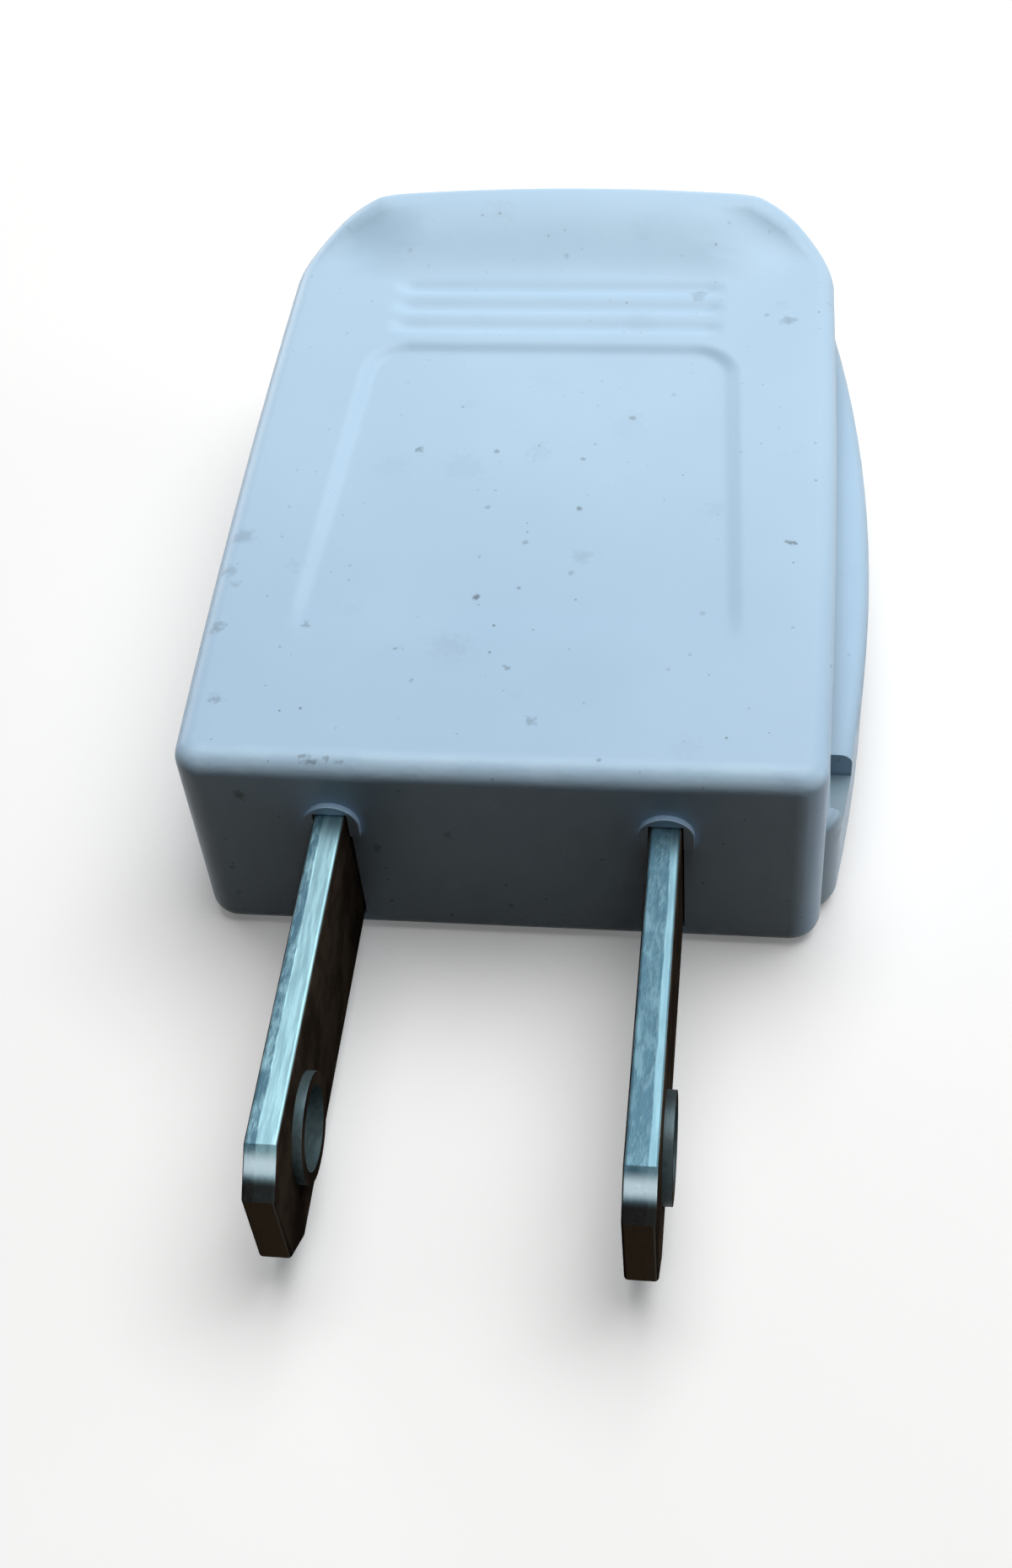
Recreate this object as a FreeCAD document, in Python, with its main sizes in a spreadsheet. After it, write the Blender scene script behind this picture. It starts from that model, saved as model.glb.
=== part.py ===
import FreeCAD, Part
import os
import re
import Sketcher

# Two-blade rewirable plug lying on its underside, blades towards -Y, top up.
# The origin is the middle of the front face, halfway between the blades and at half their width.

SIZES = {
    # contact blades
    "blade_spacing": 12.7,
    "blade_width": 6.3,
    "blade_thickness": 1.2,
    "blade_length": 16.0,
    "blade_edge_radius": 0.15,
    "tip_length": 1.5,
    "tip_width": 3.8,
    "hole_distance": 11.9,
    "hole_diameter": 3.1,
    "collar_height": 0.35,
    "collar_wall": 0.45,
    "slot_clearance": 0.06,
    # terminal end of each blade, inside the shells
    "tail_drop": 1.6,
    "tab_height": 2.2,
    "tab_reach": 4.1,
    "tab_side_gap": 0.15,
    "tab_length": 8.0,
    "relief_width": 0.6,
    "tab_gap": 0.2,
    "tab_corner_radius": 0.9,
    "bend_radius": 0.4,
    "terminal_thread": 2.5,
    "terminal_head_diameter": 3.6,
    "terminal_head_height": 1.5,
    "terminal_tip": 1.3,
    "washer_thickness": 0.6,
    "washer_diameter": 3.7,
    "washer_gap": 0.05,
    "thread_clearance": 0.1,
    "driver_slot_width": 0.8,
    "driver_slot_depth": 0.6,
    # upper shell
    "body_length": 34.6,
    "side_bow": 0.2,
    "lid_widest": 17.0,
    "rear_taper": 0.1,
    "rear_bow": 1.05,
    "rear_corner_radius": 5.2,
    "front_corner_radius": 1.2,
    "top_front_height": 5.6,
    "top_rear_height": 6.5,
    "top_edge_radius": 0.85,
    "scoop_length": 2.3,
    "lip_depth": 1.4,
    "lip_height": 1.35,
    "crest_radius": 0.9,
    "wall": 1.0,
    "top_wall": 1.5,
    "parting_height": 2.5,
    "flange_thickness": 1.2,
    "plate_thickness": 4.2,
    "plate_lap": 1.65,
    "plate_drop": 2.5,
    "slot_lip_height": 0.25,
    "slot_lip_width": 0.4,
    "slot_lip_drop": 1.2,
    # sunk panel and grip grooves in the top
    "panel_sink": 0.7,
    "panel_rear": 24.2,
    "panel_front": 6.0,
    "panel_rear_width": 15.6,
    "panel_front_width": 17.2,
    "panel_rear_radius": 1.4,
    "panel_front_radius": 2.5,
    "panel_wall_angle": 40.0,
    "groove_first": 25.65,
    "groove_pitch": 1.35,
    "groove_length": 15.2,
    "groove_radius": 0.55,
    "groove_depth": 0.25,
    # parts of the upper shell's inside
    "barrier_thickness": 1.2,
    "barrier_end": 14.8,
    "seat_margin": 0.4,
    "stop_thickness": 1.0,
    "stop_drop": 2.4,
    "boss_width": 8.6,
    "boss_gap": 0.15,
    # lower shell
    "bottom_depth": 4.2,
    "bottom_edge_radius": 0.8,
    "floor_wall": 1.5,
    "shell_clearance": 0.15,
    "base_height": 1.3,
    "base_front_reach": 0.45,
    "base_reach": 1.5,
    "base_widest": 12.5,
    "base_side_reach": 0.05,
    "base_rear_reach": 0.3,
    "base_front_radius": 1.6,
    "base_rear_radius": 2.4,
    "base_edge_radius": 0.5,
    "sill_inset": 1.5,
    "rear_wall": 2.4,
    "saddle_width": 2.4,
    "saddle_length": 6.0,
    "saddle_gap": 0.1,
    "pry_notch_start": 2.6,
    "pry_notch_length": 2.7,
    "pry_notch_depth": 1.2,
    "cord_diameter": 4.4,
    "cord_drop": 0.4,
    "cord_mouth_width": 0.6,
    # screw and nut that hold the two shells together
    "case_position": 20.0,
    "case_thread": 2.9,
    "case_head_diameter": 5.5,
    "case_head_height": 1.9,
    "case_head_recess": 0.3,
    "case_head_clearance": 0.25,
    "case_hole_clearance": 0.5,
    "post_wall": 1.2,
    "post_height": 0.8,
    "nut_width": 5.5,
    "nut_thickness": 1.7,
    "nut_clearance": 0.1,
    "nut_floor": 1.3,
    "nut_corner": 0.35,
    # cord clamp
    "clamp_position": 27.0,
    "clamp_spacing": 11.2,
    "clamp_length": 15.6,
    "clamp_width": 4.4,
    "clamp_thickness": 1.6,
    "clamp_height": 0.2,
    "clamp_saddle_radius": 6.0,
    "clamp_saddle_depth": 0.5,
    "clamp_thread": 2.0,
    "clamp_head_diameter": 3.6,
    "clamp_head_height": 1.1,
    "clamp_screw_reach": 4.6,
    "clamp_post_diameter": 4.4,
    "grip_rib_length": 6.4,
    "grip_rib_thickness": 1.2,
    "grip_rib_depth": 0.9,
}
GROOVE_COUNT = 3
ARC_SHARE = 0.2929  # how far the middle of a quarter round lies inside its corner, as a share of its radius
TOP_TURN = 60  # degrees that the top's cut is turned through, half to each side
SPARE = 2.0  # how far a cut runs on past the solid that it cuts
NEAR = 0.001  # two places closer than this count as one
WALL_SLOPE = 0.1  # a face that looks up by less than this share is a wall
TOP_SHARE = 0.5  # a face that looks up by more than this share belongs to the top

doc = FreeCAD.newDocument("plug")
sheet = doc.addObject("Spreadsheet::Sheet", "Dims")
for row, (name, size) in enumerate(SIZES.items(), start=1):
    sheet.set(f"A{row}", name)
    sheet.set(f"B{row}", str(size))
    sheet.setAlias(f"B{row}", name)
doc.recompute()

# Expressions that several pieces share
CEILING = "(top_front_height - top_wall)"
FLOOR = "(floor_wall - bottom_depth)"
BLADE_X = "(blade_spacing / 2)"
BLADE_FACE = "(blade_spacing / 2 + blade_thickness / 2)"
TERMINAL_OFFSET = "(blade_thickness / 2 + bend_radius + washer_gap + washer_diameter / 2)"
TERMINAL_X = f"({BLADE_X} + {TERMINAL_OFFSET})"
TERMINAL_REACH = "max(tab_reach; bend_radius + washer_gap + washer_diameter)"
LID_FRONT = f"({BLADE_FACE} + {TERMINAL_REACH} + tab_side_gap + wall)"
LID_MIDDLE = f"({LID_FRONT} + side_bow)"
LID_REAR = f"({LID_FRONT} - rear_taper)"
REAR_ROUND = f"(({LID_REAR} ^ 2 + rear_bow ^ 2) / (2 * rear_bow))"
PLATE_SIDE = f"({LID_FRONT} - plate_lap)"
TAB_START = "(plate_thickness + tab_gap)"
FOLD_START = "(plate_thickness + tab_gap + relief_width)"
TAB_END = "(plate_thickness + tab_gap + relief_width + tab_length)"
TERMINAL_Y = "(plate_thickness + tab_gap + relief_width + tab_length / 2)"
TAB_FLOOR = "(tab_height - blade_thickness)"
RELIEF_FLOOR = "(tab_height - blade_thickness - bend_radius - relief_width / 2)"
LIP_CREST = "(body_length - lip_depth)"
SCOOP_FOOT = "(body_length - lip_depth - scoop_length)"
TOP_SLOPE = "((top_rear_height - top_front_height) / (body_length - lip_depth - scoop_length))"
PANEL_FLOOR = "(top_rear_height - panel_sink)"
LIP_TOP = "(top_rear_height + lip_height)"
CASE_HEAD_SEAT = "(case_head_recess + case_head_height - bottom_depth)"
BOSS_FLOOR = "(post_height + boss_gap)"
NUT_FLOOR = "(post_height + boss_gap + nut_floor)"
CLAMP_FLOOR = "(clamp_height - clamp_thickness)"
SHELL_FRONT = "(flange_thickness + shell_clearance)"


def tied(expression):
    # Writes each size's name in full, as the sheet's cell.
    return re.sub(r"[a-z_]+", lambda word: "Dims." + word[0] if word[0] in SIZES else word[0], expression)


def value(expression):
    return float(sheet.evalExpression(tied(expression)))


def bind(thing, prop, expression):
    thing.setExpression(prop, tied(expression))


def new_body(name):
    body = doc.addObject("PartDesign::Body", name)
    body.Label = name
    return body


def new_sketch(body, name, plane, level="0"):
    # A sketch on one of the body's origin planes, moved along the plane's normal by level.
    sketch = body.newObject("Sketcher::SketchObject", name)
    support = [item for item in body.Origin.OriginFeatures if item.Role == plane + "_Plane"]
    sketch.AttachmentSupport = [(support[0], "")]
    sketch.MapMode = "FlatFace"
    bind(sketch, "AttachmentOffset.Base.z", level)
    return sketch


def place_point(sketch, geometry, position, x, y):
    # Ties one point of the sketch to its two coordinates.
    for kind, expression in (("DistanceX", x), ("DistanceY", y)):
        rule = Sketcher.Constraint(kind, -1, 1, geometry, position, value(expression))
        name = f"{kind}_{geometry}_{position}"
        sketch.renameConstraint(sketch.addConstraint(rule), name)
        bind(sketch, "Constraints." + name, expression)


def add_outline(sketch, corners):
    # Closed outline. A corner is (x, y), or (x, y, through_x, through_y) where the side to the next
    # corner is an arc through that point.
    spots = [FreeCAD.Vector(value(corner[0]), value(corner[1]), 0) for corner in corners]
    ends = []
    for index, corner in enumerate(corners):
        start = spots[index]
        end = spots[(index + 1) % len(corners)]
        if len(corner) == 2:
            side = sketch.addGeometry(Part.LineSegment(start, end), False)
            ends.append((side, 1, 2))
            continue
        middle = FreeCAD.Vector(value(corner[2]), value(corner[3]), 0)
        side = sketch.addGeometry(Part.Arc(start, middle, end), False)
        anticlockwise = (end - start).cross(middle - start).z < 0
        ends.append((side, 1, 2) if anticlockwise else (side, 2, 1))
    for index, (side, _, last) in enumerate(ends):
        following, following_first, _ = ends[(index + 1) % len(ends)]
        sketch.addConstraint(Sketcher.Constraint("Coincident", side, last, following, following_first))
    for (side, first, _), corner in zip(ends, corners):
        place_point(sketch, side, first, corner[0], corner[1])
        if len(corner) == 4:
            through = FreeCAD.Vector(value(corner[2]), value(corner[3]), 0)
            point = sketch.addGeometry(Part.Point(through), True)
            place_point(sketch, point, 1, corner[2], corner[3])
            sketch.addConstraint(Sketcher.Constraint("PointOnObject", point, 1, side))


def add_box(sketch, x_low, x_high, y_low, y_high):
    add_outline(sketch, [(x_low, y_low), (x_high, y_low), (x_high, y_high), (x_low, y_high)])


def add_circle(sketch, x, y, radius):
    centre = FreeCAD.Vector(value(x), value(y), 0)
    circle = sketch.addGeometry(Part.Circle(centre, FreeCAD.Vector(0, 0, 1), value(radius)), False)
    place_point(sketch, circle, 3, x, y)
    rule = sketch.addConstraint(Sketcher.Constraint("Radius", circle, value(radius)))
    sketch.renameConstraint(rule, f"Radius_{circle}")
    bind(sketch, f"Constraints.Radius_{circle}", radius)


def settle(feature):
    doc.recompute()
    if feature.Shape.isNull() or not feature.Shape.isValid():
        raise ValueError(f"{feature.Label} failed: {feature.State}")


def extrude(body, kind, name, sketch, length, backwards=False, both_sides=False):
    # A Pad or Pocket of the sketch. A Pocket must take material away and a Pad must add some.
    before = body.Shape.Volume if body.Shape.Solids else 0.0
    feature = body.newObject("PartDesign::" + kind, name)
    feature.Profile = sketch
    feature.SideType = "Symmetric" if both_sides else "One side"
    feature.Reversed = backwards
    bind(feature, "Length", length)
    settle(feature)
    change = feature.Shape.Volume - before
    if (change > 0) != (kind == "Pad") or abs(change) < NEAR:
        raise ValueError(f"{body.Label}: {name} changes the volume by {change}")
    return feature


def pad(body, name, sketch, length, **options):
    return extrude(body, "Pad", name, sketch, length, **options)


def pocket(body, name, sketch, length, **options):
    return extrude(body, "Pocket", name, sketch, length, **options)


def round_edges(body, name, radius, wanted):
    # A fillet on every edge of the body so far for which wanted(edge) holds.
    base = body.Tip
    names = [f"Edge{index}" for index, edge in enumerate(base.Shape.Edges, start=1) if wanted(edge)]
    fillet = body.newObject("PartDesign::Fillet", name)
    fillet.Base = (base, names)
    bind(fillet, "Radius", radius)
    settle(fillet)
    return fillet


def is_upright(edge):
    box = edge.BoundBox
    return box.XLength < NEAR and box.YLength < NEAR


def at_bottom(edge):
    return edge.BoundBox.ZMax < NEAR - value("bottom_depth")


def lid_corners(front, inset, tail):
    # Plan of the upper shell, or of a wall that follows it: bowed sides and a bowed rear end.
    first, middle, last = (f"({half} - {inset})" for half in (LID_FRONT, LID_MIDDLE, LID_REAR))
    rear = f"body_length - rear_bow - {tail}"
    return [
        ("-" + first, front),
        (first, front, middle, "lid_widest"),
        (last, rear, "0", "body_length - " + tail),
        ("-" + last, rear, "-" + middle, "lid_widest"),
    ]


def at_rear_corner(edge, inset, tail):
    # True for the upright edges where the lid plan's sides meet its rear end.
    spot = edge.CenterOfMass
    aside = abs(abs(spot.x) - value(f"{LID_REAR} - {inset}")) < NEAR
    return is_upright(edge) and aside and abs(spot.y - value(f"body_length - rear_bow - {tail}")) < NEAR


def add_top_surface(body):
    # One turned cut makes the sloping top, the hollow finger scoop and the top of the rear lip.
    # It turns about the middle of the rear end's round, far in front of the plug, so that the scoop
    # and the lip bow with the rear end.
    sketch = new_sketch(body, "top_profile", "YZ")
    ahead = f"top_front_height - {SPARE} * {TOP_SLOPE}"
    rise = f"(lip_height / scoop_length - {TOP_SLOPE})"
    sag = f"({rise} / (2 + 2 * sqrt(1 + {rise} ^ 2)))"
    add_outline(sketch, [
        (f"-{SPARE}", ahead),
        (SCOOP_FOOT, "top_rear_height",
         f"{SCOOP_FOOT} + scoop_length / 2 + lip_height * {sag}",
         f"top_rear_height + lip_height / 2 - scoop_length * {sag}"),
        (LIP_CREST, LIP_TOP),
        (f"body_length + {SPARE}", LIP_TOP),
        (f"body_length + {SPARE}", f"{LIP_TOP} + {SPARE}"),
        (f"-{SPARE}", f"{LIP_TOP} + {SPARE}"),
    ])
    centre = f"body_length - {REAR_ROUND}"
    foot = FreeCAD.Vector(value(centre), 0, 0)
    head = FreeCAD.Vector(value(centre), value("top_front_height"), 0)
    axis = sketch.addGeometry(Part.LineSegment(foot, head), True)
    place_point(sketch, axis, 1, centre, "0")
    place_point(sketch, axis, 2, centre, "top_front_height")
    groove = body.newObject("PartDesign::Groove", "top_surface")
    groove.Profile = sketch
    groove.ReferenceAxis = (sketch, ["Axis0"])
    groove.Midplane = True
    groove.Angle = TOP_TURN
    settle(groove)


def rounded_corner(x, y, radius, x_side, y_side, x_first):
    # The quarter round at a corner of an outline, as one arc between its two ends. The sides are +1
    # or -1 towards the outside, and x_first says that the round starts on the side along Y.
    along_y = (x, f"{y} - {y_side} * {radius}")
    along_x = (f"{x} - {x_side} * {radius}", y)
    middle = (f"{x} - {x_side * ARC_SHARE} * {radius}", f"{y} - {y_side * ARC_SHARE} * {radius}")
    first, last = (along_y, along_x) if x_first else (along_x, along_y)
    return [first + middle, last]


def add_panel(body):
    # The panel's floor is level while the top falls to the front, so the step fades out there.
    sketch = new_sketch(body, "panel_outline", "XY", PANEL_FLOOR)
    front = "panel_front_width / 2"
    rear = "panel_rear_width / 2"
    add_outline(
        sketch,
        rounded_corner(front, "panel_front", "panel_front_radius", 1, -1, False)
        + rounded_corner(rear, "panel_rear", "panel_rear_radius", 1, 1, True)
        + rounded_corner("-" + rear, "panel_rear", "panel_rear_radius", -1, 1, False)
        + rounded_corner("-" + front, "panel_front", "panel_front_radius", -1, -1, True),
    )
    panel = pocket(body, "panel", sketch, "panel_sink", backwards=True)
    bind(panel, "TaperAngle", "panel_wall_angle")
    doc.recompute()


def add_grip_grooves(body):
    sketch = new_sketch(body, "groove_rounds", "YZ")
    for index in range(GROOVE_COUNT):
        along = f"(groove_first + {index} * groove_pitch)"
        surface = f"(top_front_height + {along} * {TOP_SLOPE})"
        add_circle(sketch, along, f"{surface} - groove_depth + groove_radius", "groove_radius")
    pocket(body, "grip_grooves", sketch, "groove_length", both_sides=True)


def add_front_plate(body):
    # Thick middle of the front plate, which the lower shell's walls and floor lap from outside.
    thick = new_sketch(body, "plate_middle", "XZ", "-plate_thickness")
    add_box(thick, "-" + PLATE_SIDE, PLATE_SIDE, "-plate_drop", CEILING)
    pad(body, "plate", thick, "plate_thickness - flange_thickness")
    # A raised lip arches over the top of each blade slot.
    arches = new_sketch(body, "slot_arches", "XZ")
    half = "(blade_thickness / 2 + slot_clearance + slot_lip_width)"
    shoulder = "(blade_width / 2 - blade_thickness / 2)"
    foot = "(blade_width / 2 - slot_lip_drop)"
    for side in (-1, 1):
        middle = f"({side} * {BLADE_X})"
        add_outline(arches, [
            (f"{middle} - {half}", foot),
            (f"{middle} + {half}", foot),
            (f"{middle} + {half}", shoulder, middle, f"{shoulder} + {half}"),
            (f"{middle} - {half}", shoulder),
        ])
    pad(body, "slot_lips", arches, "slot_lip_height")
    slots = new_sketch(body, "slot_openings", "XZ", "slot_lip_height")
    for side in (-1, 1):
        middle = f"({side} * {BLADE_X})"
        across = "(blade_thickness / 2 + slot_clearance)"
        up = "(blade_width / 2 + slot_clearance)"
        add_box(slots, f"{middle} - {across}", f"{middle} + {across}", "-" + up, up)
    pocket(body, "blade_slots", slots, "slot_lip_height + plate_thickness")


def add_terminal_seats(body):
    # Pads that the terminal tabs lie against, ribs that stop the blades from being pushed in, and
    # the barrier that keeps the two wires apart.
    seats = new_sketch(body, "seat_outlines", "XY", CEILING)
    for side in (-1, 1):
        near = f"{side} * ({BLADE_FACE} + seat_margin)"
        far = f"{side} * ({LID_FRONT} - wall - shell_clearance)"
        add_box(seats, *((near, far) if side > 0 else (far, near)),
                f"{FOLD_START} + seat_margin", f"{TAB_END} - seat_margin")
    pad(body, "terminal_seats", seats, f"{CEILING} - tab_height", backwards=True)
    stops = new_sketch(body, "stop_outlines", "XY", CEILING)
    for side in (-1, 1):
        near = f"{side} * ({BLADE_X} - blade_thickness / 2)"
        far = f"{side} * ({LID_FRONT} - wall - shell_clearance)"
        add_box(stops, *((near, far) if side > 0 else (far, near)),
                f"{TAB_END} + tab_gap", f"{TAB_END} + tab_gap + stop_thickness")
    add_box(stops, "-barrier_thickness / 2", "barrier_thickness / 2", "plate_thickness", "barrier_end")
    pad(body, "blade_stops", stops, f"{CEILING} - tab_height + stop_drop", backwards=True)
    reliefs = new_sketch(body, "relief_rounds", "XY", "tab_height")
    for side in (-1, 1):
        add_circle(reliefs, f"{side} * {TERMINAL_X}", TERMINAL_Y,
                   "terminal_thread / 2 + 2 * thread_clearance")
    pocket(body, "screw_reliefs", reliefs, f"{CEILING} - tab_height", backwards=True)


def add_nut_boss(body):
    # Boss over the case screw, with a pocket for the square nut that is open on the +X side.
    boss = new_sketch(body, "boss_outline", "XY", CEILING)
    add_box(boss, "-boss_width / 2", "boss_width / 2",
            "case_position - boss_width / 2", "case_position + boss_width / 2")
    pad(body, "nut_boss", boss, f"{CEILING} - {BOSS_FLOOR}", backwards=True)
    hole = new_sketch(body, "boss_hole_round", "XY", BOSS_FLOOR)
    add_circle(hole, "0", "case_position", "(case_thread + case_hole_clearance) / 2")
    pocket(body, "boss_hole", hole, f"{CEILING} - {BOSS_FLOOR}", backwards=True)
    room = new_sketch(body, "nut_room", "XY", NUT_FLOOR)
    across = "(nut_width / 2 + nut_clearance)"
    add_box(room, "-" + across, f"boss_width / 2 + {SPARE}",
            f"case_position - {across}", f"case_position + {across}")
    pocket(body, "nut_pocket", room, "nut_thickness + nut_clearance", backwards=True)


def add_clamp_posts(body):
    posts = new_sketch(body, "clamp_post_rounds", "XY", CEILING)
    for side in (-1, 1):
        add_circle(posts, f"{side} * clamp_spacing / 2", "clamp_position", "clamp_post_diameter / 2")
    pad(body, "clamp_posts", posts, f"{CEILING} - clamp_height", backwards=True)
    pilots = new_sketch(body, "pilot_rounds", "XY", "clamp_height")
    for side in (-1, 1):
        add_circle(pilots, f"{side} * clamp_spacing / 2", "clamp_position",
                   "(clamp_thread + thread_clearance) / 2")
    pocket(body, "clamp_pilots", pilots, f"{CEILING} - clamp_height", backwards=True)
    rib = new_sketch(body, "grip_rib_outline", "XY", CEILING)
    add_box(rib, "-grip_rib_length / 2", "grip_rib_length / 2",
            "clamp_position - grip_rib_thickness / 2", "clamp_position + grip_rib_thickness / 2")
    pad(body, "grip_rib", rib, "grip_rib_depth", backwards=True)


def slopes_at(shape, edge):
    # How far each face beside the edge looks up, from 0 for a wall to 1 for a level face.
    middle = edge.valueAt((edge.FirstParameter + edge.LastParameter) / 2)
    faces = shape.ancestorsOfType(edge, Part.Face)
    return sorted(face.normalAt(*face.Surface.parameter(middle)).z for face in faces)


def make_upper_shell():
    body = new_body("upper_shell")
    plan = new_sketch(body, "lid_plan", "XY", "-bottom_depth")
    add_outline(plan, lid_corners("0", "0", "0"))
    pad(body, "block", plan, f"bottom_depth + {LIP_TOP}")
    round_edges(body, "rear_corners", "rear_corner_radius", lambda edge: at_rear_corner(edge, "0", "0"))
    round_edges(body, "front_corners", "front_corner_radius",
                lambda edge: is_upright(edge) and abs(edge.CenterOfMass.y) < NEAR)
    below = new_sketch(body, "below_lid", "XY", "-bottom_depth")
    add_box(below, f"-{LID_MIDDLE} - {SPARE}", f"{LID_MIDDLE} + {SPARE}",
            "flange_thickness", f"body_length + {SPARE}")
    pocket(body, "open_below", below, "bottom_depth + parting_height", backwards=True)
    add_top_surface(body)

    def fronts_the_lip(edge):
        wide = edge.BoundBox.XLength > value(LID_REAR)
        high = edge.BoundBox.ZMin > value(LIP_TOP) - NEAR
        return wide and high and edge.CenterOfMass.y < value(LIP_CREST)

    round_edges(body, "crest", "crest_radius", fronts_the_lip)

    def rims_the_top(edge):
        slopes = slopes_at(body.Tip.Shape, edge)
        high = edge.BoundBox.ZMin > value("parting_height + wall")
        return high and abs(slopes[0]) < WALL_SLOPE and slopes[-1] > TOP_SHARE

    round_edges(body, "top_edges", "top_edge_radius", rims_the_top)
    round_edges(body, "front_foot", "bottom_edge_radius",
                lambda edge: at_bottom(edge) and edge.CenterOfMass.y < value("flange_thickness / 2"))
    add_panel(body)
    add_grip_grooves(body)
    hollow = new_sketch(body, "lid_hollow", "XY", "parting_height")
    add_outline(hollow, lid_corners("plate_thickness", "wall", "rear_wall"))
    pocket(body, "hollow", hollow, f"{CEILING} - parting_height", backwards=True)
    round_edges(body, "hollow_corners", "rear_corner_radius - rear_wall",
                lambda edge: at_rear_corner(edge, "wall", "rear_wall"))
    add_front_plate(body)
    add_terminal_seats(body)
    add_nut_boss(body)
    add_clamp_posts(body)
    return body


def base_corners():
    # Plan of the low base, which stands out beyond the upper shell and bows out most along the sides.
    front = f"({LID_FRONT} + base_front_reach)"
    middle = f"({LID_MIDDLE} + base_reach)"
    rear = f"({LID_REAR} + base_side_reach)"
    end = "body_length - rear_bow + base_rear_reach"
    return [
        ("-" + front, SHELL_FRONT),
        (front, SHELL_FRONT, middle, "base_widest"),
        (rear, end, "0", "body_length + base_rear_reach"),
        ("-" + rear, end, "-" + middle, "base_widest"),
    ]


def hollow_lower_shell(body):
    depth = f"parting_height - {FLOOR}"
    inside = new_sketch(body, "shell_hollow", "XY", "parting_height")
    add_outline(inside, lid_corners("plate_thickness", "wall", "rear_wall"))
    pocket(body, "hollow_shell", inside, depth)
    round_edges(body, "hollow_shell_corners", "rear_corner_radius - rear_wall",
                lambda edge: at_rear_corner(edge, "wall", "rear_wall"))
    front = new_sketch(body, "front_hollow", "XY", "parting_height")
    side = f"({PLATE_SIDE} + shell_clearance)"
    add_box(front, "-" + side, side, f"{SHELL_FRONT} - {SPARE}", f"plate_thickness + {SPARE}")
    pocket(body, "hollow_front", front, depth)


def add_case_post(body):
    # Post round the case screw, which passes up through it from a recess in the underside.
    recess = "(case_head_diameter / 2 + case_head_clearance)"
    post = new_sketch(body, "post_round", "XY", FLOOR)
    add_circle(post, "0", "case_position", f"{recess} + post_wall")
    pad(body, "case_post", post, f"post_height - {FLOOR}")
    head = new_sketch(body, "head_round", "XY", "-bottom_depth")
    add_circle(head, "0", "case_position", recess)
    pocket(body, "head_recess", head, "case_head_recess + case_head_height", backwards=True)
    hole = new_sketch(body, "case_hole_round", "XY", "-bottom_depth")
    add_circle(hole, "0", "case_position", "(case_thread + case_hole_clearance) / 2")
    pocket(body, "case_hole", hole, "bottom_depth + post_height", backwards=True)


def add_cord_inlet(body):
    # Round hole through the rear wall, turned with its flared mouth about the cord's axis.
    sketch = new_sketch(body, "inlet_profile", "YZ")
    inside = f"(body_length - rear_wall - rear_bow - {SPARE})"
    mouth = "(body_length + base_rear_reach)"
    bore = "(cord_diameter / 2 - cord_drop)"
    add_outline(sketch, [
        (inside, "-cord_drop"),
        (f"{mouth} + {SPARE}", "-cord_drop"),
        (f"{mouth} + {SPARE}", f"{bore} + cord_mouth_width + {SPARE}"),
        (f"{mouth} - cord_mouth_width", bore),
        (inside, bore),
    ])
    inlet = body.newObject("PartDesign::Groove", "cord_inlet")
    inlet.Profile = sketch
    inlet.ReferenceAxis = (sketch, ["Edge1"])
    inlet.Angle = 360
    settle(inlet)


def make_base():
    # Low base that stands out all round, rounded before the walls of the shell join it.
    body = new_body("base_block")
    plan = new_sketch(body, "base_plan", "XY", "-bottom_depth")
    add_outline(plan, base_corners())
    pad(body, "base", plan, "bottom_depth + base_height")
    front_side = value(SHELL_FRONT) + NEAR
    round_edges(body, "base_front_corners", "base_front_radius",
                lambda edge: is_upright(edge) and edge.CenterOfMass.y < front_side)
    round_edges(body, "base_rear_corners", "base_rear_radius",
                lambda edge: is_upright(edge) and edge.CenterOfMass.y > value("base_widest"))
    round_edges(body, "base_top_edges", "base_edge_radius",
                lambda edge: edge.BoundBox.ZMin > value("base_height") - NEAR)
    round_edges(body, "base_bottom_edges", "bottom_edge_radius", at_bottom)
    # A flat sill behind the foot of the front plate.
    sill = new_sketch(body, "sill_outline", "XY", "-bottom_depth")
    side = f"({LID_FRONT} - sill_inset)"
    add_box(sill, "-" + side, side, SHELL_FRONT, "plate_thickness")
    pad(body, "sill", sill, "floor_wall")
    return body


def make_lower_shell():
    base = make_base()
    body = new_body("lower_shell")
    plan = new_sketch(body, "core_plan", "XY", FLOOR)
    add_outline(plan, lid_corners(SHELL_FRONT, "0", "0"))
    pad(body, "core", plan, f"parting_height - {FLOOR}")
    round_edges(body, "core_corners", "rear_corner_radius", lambda edge: at_rear_corner(edge, "0", "0"))
    joined = body.newObject("PartDesign::Boolean", "with_base")
    joined.Type = "Fuse"
    joined.setObjects([base])
    settle(joined)
    hollow_lower_shell(body)
    add_case_post(body)
    add_cord_inlet(body)
    saddles = new_sketch(body, "saddle_outlines", "XY", FLOOR)
    notches = new_sketch(body, "pry_notch_outlines", "XY", "base_height")
    for side in (-1, 1):
        add_box(saddles, f"{side} * {BLADE_X} - saddle_width / 2", f"{side} * {BLADE_X} + saddle_width / 2",
                f"{TERMINAL_Y} - saddle_length / 2", f"{TERMINAL_Y} + saddle_length / 2")
        near = f"{side} * {LID_MIDDLE}"
        far = f"{side} * ({LID_MIDDLE} + base_reach + {SPARE})"
        add_box(notches, *((near, far) if side > 0 else (far, near)),
                "pry_notch_start", "pry_notch_start + pry_notch_length")
    pad(body, "blade_saddles", saddles, f"-tail_drop - saddle_gap - {FLOOR}")
    pocket(body, "pry_notches", notches, "pry_notch_depth")
    return body


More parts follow.
